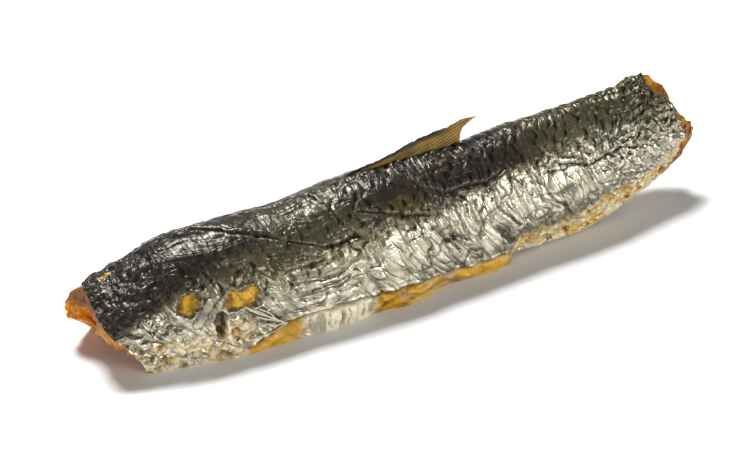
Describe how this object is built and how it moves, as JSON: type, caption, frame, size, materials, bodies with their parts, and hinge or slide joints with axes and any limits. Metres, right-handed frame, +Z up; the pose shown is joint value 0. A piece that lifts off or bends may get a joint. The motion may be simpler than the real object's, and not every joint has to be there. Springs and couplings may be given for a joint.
{
  "type": "smoked herring fillet",
  "caption": "Smoked herring fillet in one piece with its skin on, opened along the belly and standing on its belly edges; food to serve or cut up.",
  "frame": {"origin": "on the surface it rests on, under the middle of the fish", "axes": "+X from the head cut to the tail cut, -Y the side of the flank shown, +Z up"},
  "size_m": [0.186, 0.0344, 0.0382],
  "materials": {
    "smoked_skin": "oily wrinkled fish skin, charcoal on the back, silver on the flank, golden at the belly",
    "smoked_flesh": "moist orange-brown smoked meat at the cuts and in the belly cavity",
    "belly_edge": "golden, oily, thin belly flap",
    "fin_rays": "dry brown fin with fine rays"
  },
  "bodies": {
    "root": {"herring_fillet": "smoked_skin"}
  },
  "joints": []
}
